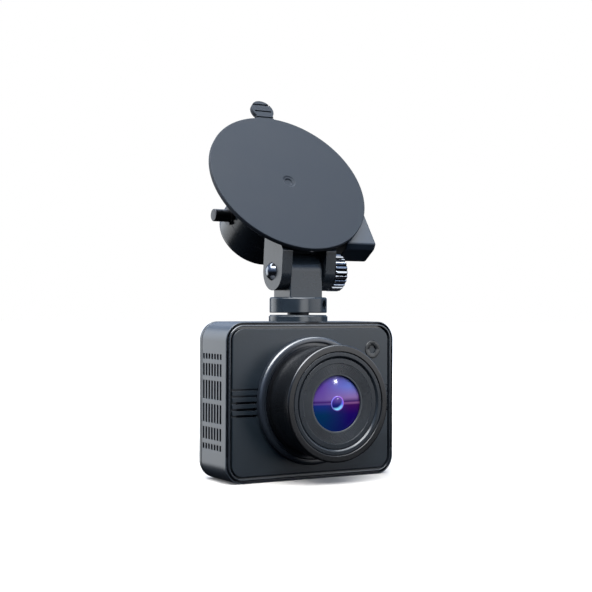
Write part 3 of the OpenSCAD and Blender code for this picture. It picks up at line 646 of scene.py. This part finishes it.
def make_emblem():
    """Plain round badge with a six-sided recess."""
    low, high = box_mm("emblem")
    centre = middle_mm("emblem")
    place = Matrix.Translation((centre.x, 0, centre.z)) @ FACE
    top, radius = -low.y, high.x - centre.x
    badge = turned("round_badge", [(0, top - 0.5), (radius, top - 0.5), (radius, top, 0.16), (0, top)],
                   place, looped=False, steps=72)
    hexagon = circle(radius / 2, steps=6)
    combine(badge, "DIFFERENCE", slabs("hexagon", [hexagon], top - 2, top + 1, place))
    dress(soften(badge, 0.06), "emblem", slot="emblem_black")


def make_rear_cover():
    """Back cover with the recess for the screen, the key openings and the screw seats."""
    cover = framed("back_cover", [
        (FIT_IN, REAR_RIM + 1.2), (FIT_IN, REAR_RIM), (0, REAR_RIM, 0.16), (0, REAR, 0.8), (3, REAR),
    ], looped=False)
    places = [middle_mm(key) for key in sorted(KEY_PIECES)]
    keys = [rounded_rect(4.55, 2.25, 1.2, (middle.x, middle.z), 6) for middle in places]
    glass = middle_mm("screen_cover")
    corner = box_mm("screen_cover")[1] - glass
    inner = body_outline(FIT_IN + 1.2)
    recess = rounded_rect(corner.x + 0.1, corner.z + 0.1, 2.1, (glass.x, glass.z), 8)
    window = rounded_rect(21, 15.75, 0.8, (glass.x, glass.z), 4)
    combine(
        cover, "DIFFERENCE",
        slabs("inner", [inner], REAR + WALL, REAR_RIM + 2, FACE),
        slabs("recess", [recess], REAR - 1, REAR + 0.9, FACE),
        slabs("window", [window, *keys], REAR - 1, REAR + 3, FACE),
        slabs("seats", [circle(1.9, p, 40) for p in POSTS], REAR - 1, REAR + 1, FACE),
        slabs("bores", [circle(1, p, 24) for p in POSTS], REAR - 1, REAR + 5, FACE),
        slabs("post_seats", [circle(POST_R + 0.1, p, 32) for p in POSTS], REAR + WALL, REAR_RIM + 2, FACE),
    )
    dress(soften(cover, 0.12), "rear_cover", slot="rear_plastic")


def make_keys():
    """Keys on the back: a crowned cap that stands out, and a flange that keeps it in."""
    for node, name in KEY_PIECES.items():
        low, high = box_mm(node)
        centre = middle_mm(node)
        back, front = -high.y, -low.y
        caps = [(0.5, back), (0.22, back + 0.06), (0.06, back + 0.2), (0, back + 0.45), (0, front - 0.5)]
        rings = [
            [(x, y, f) for x, y in rounded_rect(4.3 - inset, 2 - inset, 1 - inset * 0.6, (0, 0), 6)]
            for inset, f in caps
        ]
        place = Matrix.Translation((centre.x, 0, centre.z)) @ FACE
        key = skin(name, rings, place, looped=False)
        flange = slabs("flange", [rounded_rect(5.1, 2.6, 1, (0, 0), 6)], front - 0.6, front, place)
        combine(key, "UNION", flange)
        dress(soften(key, 0.08), node, slot="key_black")


def make_screen_cover():
    """Dark window over the screen, with a polished edge."""
    low, high = box_mm("screen_cover")
    centre = middle_mm("screen_cover")
    corner = high - centre
    back, front = -high.y, -low.y
    rings = [
        [(x, y, f) for x, y in rounded_rect(corner.x - inset, corner.z - inset, 2 - inset, (0, 0), 10)]
        for inset, f in [(0.22, back), (0.06, back + 0.06), (0, back + 0.22), (0, front)]
    ]
    glass = skin("screen_window", rings, Matrix.Translation((0, 0, centre.z)) @ FACE, looped=False)
    dress(crease(glass), "screen_cover", slot="screen_glass")


# ---------- lens ----------

BARREL_IN_R = 17.2
RIM_BACK = LENS_REACH - 3.1
RINGS_BACK = 20
TRIM_IN_R = 15.2
TRIM_FRONT = LENS_REACH - 0.15
RETAINER_IN_R = 13.4
RETAINER_FRONT = LENS_REACH - 0.5
RIDGES = 8
RIDGE_DEPTH = 0.3
EYE_R = 2.45
EYE_CROWN = 9
GLASS_CROWN = 44
GLASS_EDGE_R = 10.05


def crown_height(crown, radius):
    """Height at a radius on a dome whose own radius is crown, from its top, which is 0."""
    return math.sqrt(crown ** 2 - radius ** 2) - crown


def make_lens():
    """Flange, barrel, the two rings in its mouth, the funnel and the front element, which is returned."""
    bead = 2.1
    flange = turned("lens_base_ring", [
        (BARREL_R + 0.05, PANEL), (FLANGE_R, PANEL), (FLANGE_R, PANEL + bead, bead / 2),
        (FLANGE_R - bead, PANEL + bead, bead / 2), (FLANGE_R - bead, PANEL + 1, 0.15),
        (BARREL_R + 0.05, PANEL + 1),
    ], LENS)
    dress(crease(flange), "lens_flange", slot="flange_plastic")

    lip, neck = BARREL_IN_R + 0.1, BARREL_R - 0.4
    barrel = turned("lens_tube", [
        (BARREL_IN_R, COVER_BACK), (BARREL_R, COVER_BACK), (BARREL_R, RIM_BACK - 0.4, 0.12),
        (neck, RIM_BACK - 0.4), (neck, RIM_BACK), (RIM_R, RIM_BACK, 0.35), (RIM_R, LENS_REACH, 0.55),
        (lip, LENS_REACH, 0.22), (lip, LENS_REACH - 1), (BARREL_IN_R, LENS_REACH - 1),
    ], LENS)
    dress(crease(barrel), "lens_barrel", slot="barrel_black")

    trim_r = BARREL_IN_R - 0.02
    trim = turned("lens_trim_ring", [
        (TRIM_IN_R, RINGS_BACK), (trim_r, RINGS_BACK), (trim_r, TRIM_FRONT, 0.25),
        (TRIM_IN_R + 0.6, TRIM_FRONT, 0.4), (TRIM_IN_R, TRIM_FRONT - 0.6, 0.15),
    ], LENS)
    dress(crease(trim), "trim_ring", slot="ring_black")

    retainer_r = TRIM_IN_R - 0.1
    ring = turned("lens_retaining_ring", [
        (RETAINER_IN_R, RINGS_BACK), (retainer_r, RINGS_BACK), (retainer_r, RETAINER_FRONT, 0.12),
        (RETAINER_IN_R, RETAINER_FRONT, 0.1),
    ], LENS)
    dress(crease(ring), "retaining_ring", slot="ring_black")

    make_funnel()
    return make_front_glass()


def make_funnel():
    """Baffle that slopes in to the glass, with fine ring grooves against stray light."""
    outer, inner = RETAINER_IN_R - 0.05, GLASS_R + 0.7
    top, floor, back = LENS_REACH - 0.6, LENS_REACH - 1.08, LENS_REACH - 1.55
    pitch, drop = (outer - inner) / RIDGES, (top - floor) / RIDGES
    profile = [(GLASS_R, back), (outer, back), (outer, top)]
    for k in range(RIDGES):
        radius, height = outer - k * pitch, top - k * drop
        profile += [(radius - 0.5 * pitch, height), (radius - 0.54 * pitch, height - RIDGE_DEPTH)]
        profile += [(radius - 0.94 * pitch, height - RIDGE_DEPTH), (radius - pitch, height - drop)]
    profile.append((GLASS_R, floor, 0.15))
    funnel = turned("lens_funnel", profile, LENS)
    dress(crease(funnel, 25), "lens_baffle", slot="baffle_black")


def make_front_glass():
    """Front element: a shallow dome with a small steeper one in its middle."""
    apex, back = LENS_REACH - 0.6, LENS_REACH - 4.6
    eye_radii = [EYE_R * k / 8 for k in range(9)]
    front = [(radius, apex + crown_height(EYE_CROWN, radius)) for radius in eye_radii]
    start = EYE_R + 0.06
    step = crown_height(EYE_CROWN, 0) - crown_height(EYE_CROWN, EYE_R)
    base = apex - step - 0.02
    for k in range(21):
        radius = start + (GLASS_EDGE_R - start) * k / 20
        front.append((radius, base + crown_height(GLASS_CROWN, radius) - crown_height(GLASS_CROWN, EYE_R)))
    outline = [*front, (GLASS_EDGE_R, back), (0, back)]
    glass = turned("lens_front_glass", outline, LENS, looped=False)
    dress(crease(glass, 20), "front_lens", slot="coated_glass")
    return glass


# ---------- swivel and clamp ----------

foot_low, foot_high = box_mm("foot_ring")
collar_low, collar_high = box_mm("swivel_collar")
COLLAR_TOP = collar_low.z + 5.45
SPINDLE_BORE_R = 3.85
BOLT_R = 1.7
FORK_HALF = 10.8
SLOT_HALF = 6.8


def make_foot_ring():
    """Round foot on the top of the body, with a small step at its upper edge."""
    radius, step_r, top = foot_high.x, foot_high.x - 0.35, foot_high.z
    foot = turned("mount_foot", [
        (SPINDLE_BORE_R, foot_low.z), (FOOT_BOSS_R, foot_low.z), (FOOT_BOSS_R, BODY_H), (radius, BODY_H, 0.1),
        (radius, top - 0.42, 0.15), (step_r, top - 0.38, 0.05), (step_r, top, 0.15), (SPINDLE_BORE_R, top),
    ], UPRIGHT)
    dress(crease(foot), "foot_ring", slot="collar_plastic")
    return foot


def make_collar():
    """Swivel collar with its upright tongue, the cross bore and the hole of the set screw."""
    radius, tongue_half, tongue_r, tongue_y = collar_high.x, 6.5, 5.95, 0.2
    collar = turned("swivel_collar_body", [
        (0, collar_low.z), (radius, collar_low.z, 0.35), (radius, COLLAR_TOP, 0.7), (0, COLLAR_TOP),
    ], UPRIGHT, looped=False)
    root = COLLAR_TOP - 1
    profile = [
        (tongue_y - tongue_r, root), *arc((tongue_y, PIVOT_Z), tongue_r, 180, 0, 32), (tongue_y + tongue_r, root),
    ]
    tongue = slabs("tongue", [profile], -tongue_half, tongue_half, ALONG_X)
    soften(tongue, 0.55, segments=3)
    settle(tongue)
    screw = middle_mm("set_screw")
    aim = Vector((screw.x, screw.y, 0)).to_track_quat("Z", "Y").to_matrix().to_4x4()
    bore = Matrix.Translation((0, 0, screw.z)) @ aim
    combine(collar, "UNION", tongue)
    combine(
        collar, "DIFFERENCE",
        slabs("axle_bore", [circle(BOLT_R + 0.05, steps=48)], -10, 10, PIVOT),
        slabs("spindle_bore", [circle(3.8)], collar_low.z - 1, collar_low.z + 2.2, UPRIGHT),
        slabs("screw_bore", [circle(1.6, steps=48)], 5.2, 14, bore),
    )
    dress(soften(collar, 0.1), "swivel_collar", slot="collar_plastic")
    return collar


def make_clamp():
    """Cross bolt with a domed head, and the ridged knob on its other end."""
    head_r = 3.2
    head, end = (corner.x for corner in box_mm("clamp_bolt"))
    head_h = -FORK_HALF - head
    dome = (head_r ** 2 + head_h ** 2) / (2 * head_h)
    crown = []
    for k in range(13):
        radius = head_r * k / 12
        crown.append((radius, head + dome - math.sqrt(dome ** 2 - radius ** 2)))
    bolt = turned("clamp_axle", [
        *crown, (head_r, -FORK_HALF), (BOLT_R, -FORK_HALF), (BOLT_R, end - 0.3), (BOLT_R - 0.3, end), (0, end),
    ], PIVOT, looped=False, steps=96)
    dress(crease(bolt), "clamp_bolt", slot="bolt_steel")

    low, high = box_mm("clamp_knob")
    reach, ridges, steps = high.z - PIVOT_Z, 24, 12
    rings = []
    rounding = [
        (0.75, low.x), (0.25, low.x + 0.15), (0, low.x + 0.5),
        (0, high.x - 0.5), (0.25, high.x - 0.15), (0.75, high.x),
    ]
    for inset, height in rounding:
        ring = []
        for k in range(ridges * steps):
            angle = math.tau * k / (ridges * steps)
            wave = 0.5 + 0.5 * math.cos(ridges * angle)
            depth = 0.75 * (1 - min(1, 1.5 * wave))
            radius = min(reach - depth, reach - inset)
            ring.append((radius * math.cos(angle), radius * math.sin(angle), height))
        rings.append(ring)
    knob = skin("clamp_hand_knob", rings, PIVOT, looped=False)
    combine(
        knob, "DIFFERENCE",
        slabs("knob_bore", [circle(BOLT_R + 0.05, steps=48)], low.x - 1, high.x + 1, PIVOT),
        slabs("nut_seat", [circle(3.2, steps=6)], low.x + 1.6, high.x + 1, PIVOT),
    )
    dress(crease(knob, 35), "clamp_knob", slot="knob_plastic")


# ---------- suction mount ----------

FLANGE_Z = -3.2
FLANGE_T = 2
CAP_Z = -22.3
DRUM_R = 14.6
DRUM_IN_R = 12.8
DRUM_BACK = -32.4
CUP_R = 30.25
SEAT_R = 16.6  # of the flange and of the cup's back, which meet
PIN_R = 2.25
STUD_BORE_R = 3.05
POCKET_R = 8.3


def make_housing():
    """Fork with two ears, the flange behind the cup and the drum that holds the stud."""
    ear_r, ear_y = 6.6, -0.6
    side = [
        (-7.9, PIVOT_Z + 7.2, 1), (-7.1, PIVOT_Z + 8.4, 1), (1.3, PIVOT_Z + 19.1), (9.5, PIVOT_Z + 15.8),
        (4.8, PIVOT_Z + 13), (5.4, PIVOT_Z + 8, 2), *arc((ear_y, PIVOT_Z), ear_r, 0, -180, 36),
    ]
    fork = slabs("mount_bracket", [rounded(side)], -FORK_HALF, FORK_HALF, ALONG_X)
    leaning = [(-20, PIVOT_Z - 2), (-0.9, PIVOT_Z - 2), (-11.7, PIVOT_Z + 28), (-20, PIVOT_Z + 28)]
    slot, lower, front = (
        slabs(name, [outline], -SLOT_HALF, SLOT_HALF, ALONG_X)
        for name, outline in (
            ("slot", circle(7.4, (0, PIVOT_Z), 72)),
            ("lower", rectangle(-20, 20, PIVOT_Z - 20, PIVOT_Z)),
            ("front", leaning),
        )
    )
    combine(slot, "UNION", lower, front)
    combine(fork, "DIFFERENCE", slot)
    soften(fork, 0.35, segments=3)
    settle(fork)
    flange_back = FLANGE_Z - FLANGE_T
    drum = turned("drum", [
        (STUD_BORE_R, FLANGE_Z), (SEAT_R, FLANGE_Z, 0.3), (SEAT_R, flange_back, 0.6), (DRUM_R, flange_back),
        (DRUM_R, CAP_Z, 0.2), (DRUM_IN_R, CAP_Z), (DRUM_IN_R, flange_back), (STUD_BORE_R, flange_back),
    ], CUP)
    hollow = turned("hollow", [
        (0, CAP_Z - 1), (DRUM_IN_R, CAP_Z - 1), (DRUM_IN_R, flange_back), (0, flange_back),
    ], CUP, looped=False)
    combine(fork, "DIFFERENCE", hollow)
    combine(fork, "UNION", drum)
    screw_hole = circle(0.7, (2.4, -(PIVOT_Z + 8.2)), 24)
    combine(
        fork, "DIFFERENCE",
        slabs("pin_bore", [circle(PIN_R + 0.05, (0, -PIN_REACH), 48)], -20, 20, CUP_ALONG_X),
        slabs("axle_bore", [circle(BOLT_R, steps=48)], -20, 20, PIVOT),
        slabs("screw_bore", [screw_hole], -4.6, 0.4, Matrix.Rotation(math.radians(-90), 4, "X")),
    )
    dress(crease(fork, 32), "mount_housing", slot="mount_plastic")

    cap = turned("drum_cap", [
        (DRUM_IN_R, CAP_Z), (DRUM_R, CAP_Z, 0.2), (DRUM_R, DRUM_BACK, 2.9), (0, DRUM_BACK),
        (0, DRUM_BACK + 1.8), (DRUM_IN_R, DRUM_BACK + 1.8),
    ], CUP)
    notch = circle(PIN_R + 0.05, (0, -PIN_REACH), 48)
    combine(cap, "DIFFERENCE", slabs("pin_notch", [notch], -20, 20, CUP_ALONG_X))
    dress(crease(cap, 32), "housing_cap", slot="mount_plastic")


def make_cup():
    """Rubber suction cup with the dimple and ring in its middle, and the pull tab."""
    cup = turned("suction_disc", [
        (0, -0.75), (1.3, -0.75, 0.25), (1.5, -0.3, 0.3), (2.1, -0.3, 0.4), (2.5, 0, 0.25),
        (CUP_R, 0, 0.35), (CUP_R, -2, 0.7), (CUP_R - 2.2, -2, 0.8), (SEAT_R + 0.8, -2.2, 0.5),
        (SEAT_R, FLANGE_Z, 0.2), (POCKET_R, FLANGE_Z), (POCKET_R, -1), (0, -1),
    ], CUP, looped=False, steps=160)
    tab_y, tab_r, neck_half = 34.3, 4.4, 3.45
    open_half = math.degrees(math.asin(neck_half / tab_r))
    outline = [
        (neck_half, CUP_R - 2), *arc((0, tab_y), tab_r, -90 + open_half, 270 - open_half, 32),
        (-neck_half, CUP_R - 2),
    ]
    tab = slabs("tab", [outline], -1.8, -0.02, CUP)
    grips = [rectangle(-3.5, 3.5, y - 0.3, y + 0.3) for y in (30.6, 33.6, 36.8)]
    combine(tab, "DIFFERENCE", slabs("grips", grips, -0.5, 1, CUP))
    soften(tab, 0.22, segments=3)
    settle(tab)
    combine(cup, "UNION", tab)
    dress(crease(cup, 35), "suction_cup", slot="cup_rubber")


def make_lever():
    """Locking lever: a hub on the pin and a thick paddle with rounded corners."""
    low, front, back, hub_r = -25.8, -3.25, -13.5, 5.5
    x_in, x_out = 17.3, 29.7
    outline = [
        (low, -5.4, 0.6), (low + 1.1, front, 0.8), (-4, front, 2.5), (3.4, -10, 3),
        *arc((0, -PIN_REACH), hub_r, 35, -145, 24), (-11, back, 4), (low, back, 1.8),
    ]
    paddle = slabs("lock_lever", [rounded(outline)], x_in, x_out, CUP_ALONG_X)
    soften(paddle, 1.1, segments=4)
    settle(paddle)
    hub = turned("hub", [(0, 15.4), (hub_r, 15.4, 0.4), (hub_r, 20), (0, 20)], PIN_AXIS, looped=False, steps=72)
    combine(paddle, "UNION", hub)
    bore = circle(PIN_R, (0, -PIN_REACH), 48)
    combine(paddle, "DIFFERENCE", slabs("pin_bore", [bore], 10, x_out - 1.5, CUP_ALONG_X))
    dress(crease(paddle, 32), "lever_paddle", slot="lever_plastic")

    start, end = (corner.x for corner in box_mm("lever_pin"))
    pin = turned("lever_axle", [(0, start), (PIN_R, start, 0.3), (PIN_R, end, 0.2), (0, end)],
                 PIN_AXIS, looped=False, steps=72)
    dress(crease(pin), "lever_pin", slot="screw_black")


make_main_shell()
make_front_cover()
make_front_panel()
make_emblem()
make_rear_cover()
make_keys()
make_screen_cover()
front_glass = make_lens()
foot_disc = make_foot_ring()
swivel_ring = make_collar()
make_clamp()
make_housing()
make_cup()
make_lever()


# ---------- floor, light and camera ----------

def floor_finish():
    """Pale floor, lit evenly away from the object so that it runs into the backdrop."""
    finish, nodes, links, shader = node_tree("pale_floor")
    tone = ranged(nodes, links, noise(nodes, links, 60), 0, 1)
    pale = mixed(nodes, links, tone, (0.375, 0.355, 0.33), (0.395, 0.375, 0.35))
    links.new(pale, shader.inputs["Base Color"])
    shader.inputs["Roughness"].default_value = 0.6
    away = away_from(nodes, links, (0, 0, 0), (1, 1, 1))
    glow = ranged(nodes, links, away, 0.08, 1, 0.05, 0.45)
    shader.inputs["Emission Color"].default_value = (1, 1, 1, 1)
    links.new(glow, shader.inputs["Emission Strength"])
    return finish


OBJECT_MIDDLE = Vector((0, 0, 65))


def softbox(name, turn, rise, distance, size, radiance, colour=(1, 1, 1)):
    """A rectangular light aimed at the object. turn is its azimuth in degrees, from the front (-Y)
    towards +X, rise its elevation; radiance is how bright it looks in a mirror."""
    lamp = bpy.data.lights.new(name, "AREA")
    lamp.shape = "RECTANGLE"
    lamp.size, lamp.size_y = size[0] * MM, size[1] * MM
    lamp.energy = radiance * math.pi * lamp.size * lamp.size_y
    lamp.color = colour
    light = bpy.data.objects.new(name, lamp)
    a, e = math.radians(turn), math.radians(rise)
    away = Vector((math.sin(a) * math.cos(e), -math.cos(a) * math.cos(e), math.sin(e)))
    light.location = (OBJECT_MIDDLE + away * distance) * MM
    light.rotation_euler = (-away).to_track_quat("-Z", "Y").to_euler()
    bpy.context.scene.collection.objects.link(light)
    return light


def light_only(light, *pieces):
    """Keeps a light to some of the pieces."""
    lit = bpy.data.collections.new(light.name + "_lit")
    for piece in pieces:
        lit.objects.link(piece)
    light.light_linking.receiver_collection = lit


floor = slabs("studio_floor", [circle(4000, steps=96)], -2, 0, UPRIGHT)
floor.data.materials.append(floor_finish())
floor.visible_glossy = False
floor.visible_diffuse = False
floor.visible_shadow = False

softbox("left_back", -150, 4, 620, (440, 520), 2.7, (0.95, 0.98, 1))
softbox("key", -46, 57, 430, (460, 330), 8.5)
softbox("rim", 168, 42, 600, (340, 220), 2.2)
light_only(softbox("front", -6, 0, 700, (400, 110), 7), swivel_ring, foot_disc)
softbox("front_right", 45, 9, 800, (820, 400), 2.3)
softbox("overhead", -50, 80, 540, (950, 800), 8, (0.95, 0.98, 1))
light_only(softbox("sparkle", 30.5, 8.8, 503, (20, 20), 240), front_glass)


def studio_world():
    """White to the camera; for light and reflections pale above, fading to dark below the horizon."""
    world = bpy.data.worlds.new("studio")
    world.use_nodes = True
    nodes, links = world.node_tree.nodes, world.node_tree.links
    backdrop, output = nodes["Background"], nodes["World Output"]
    backdrop.inputs["Color"].default_value = (1, 1, 1, 1)
    split = nodes.new("ShaderNodeSeparateXYZ")
    links.new(nodes.new("ShaderNodeTexCoord").outputs["Generated"], split.inputs["Vector"])
    height = ranged(nodes, links, split.outputs["Z"], 0, 1, -0.12, 0.5)
    sky = nodes.new("ShaderNodeBackground")
    links.new(mixed(nodes, links, height, (0.012, 0.014, 0.018), (0.42, 0.6, 0.95)), sky.inputs["Color"])
    seen = nodes.new("ShaderNodeLightPath")
    both = nodes.new("ShaderNodeMixShader")
    links.new(seen.outputs["Is Camera Ray"], both.inputs["Fac"])
    links.new(sky.outputs["Background"], both.inputs[1])
    links.new(backdrop.outputs["Background"], both.inputs[2])
    links.new(both.outputs["Shader"], output.inputs["Surface"])
    return world


scene = bpy.context.scene
scene.view_settings.view_transform = "Standard"
scene.world = studio_world()

CAMERA_PLACE = Vector((-219.5, -371.1, 59.4))
LOOK_TURN, LOOK_UP, LOOK_ROLL = 30.5, 0.47, 0.23
lens = bpy.data.cameras.new("photo_view")
lens.sensor_width = 36
lens.lens = 74.66
camera = bpy.data.objects.new("photo_view", lens)
camera.location = CAMERA_PLACE * MM
camera.rotation_mode = "QUATERNION"
camera.rotation_quaternion = (
    Matrix.Rotation(math.radians(-LOOK_TURN), 3, "Z")
    @ Matrix.Rotation(math.radians(90 + LOOK_UP), 3, "X")
    @ Matrix.Rotation(math.radians(LOOK_ROLL), 3, "Z")
).to_quaternion()
scene.collection.objects.link(camera)
scene.camera = camera
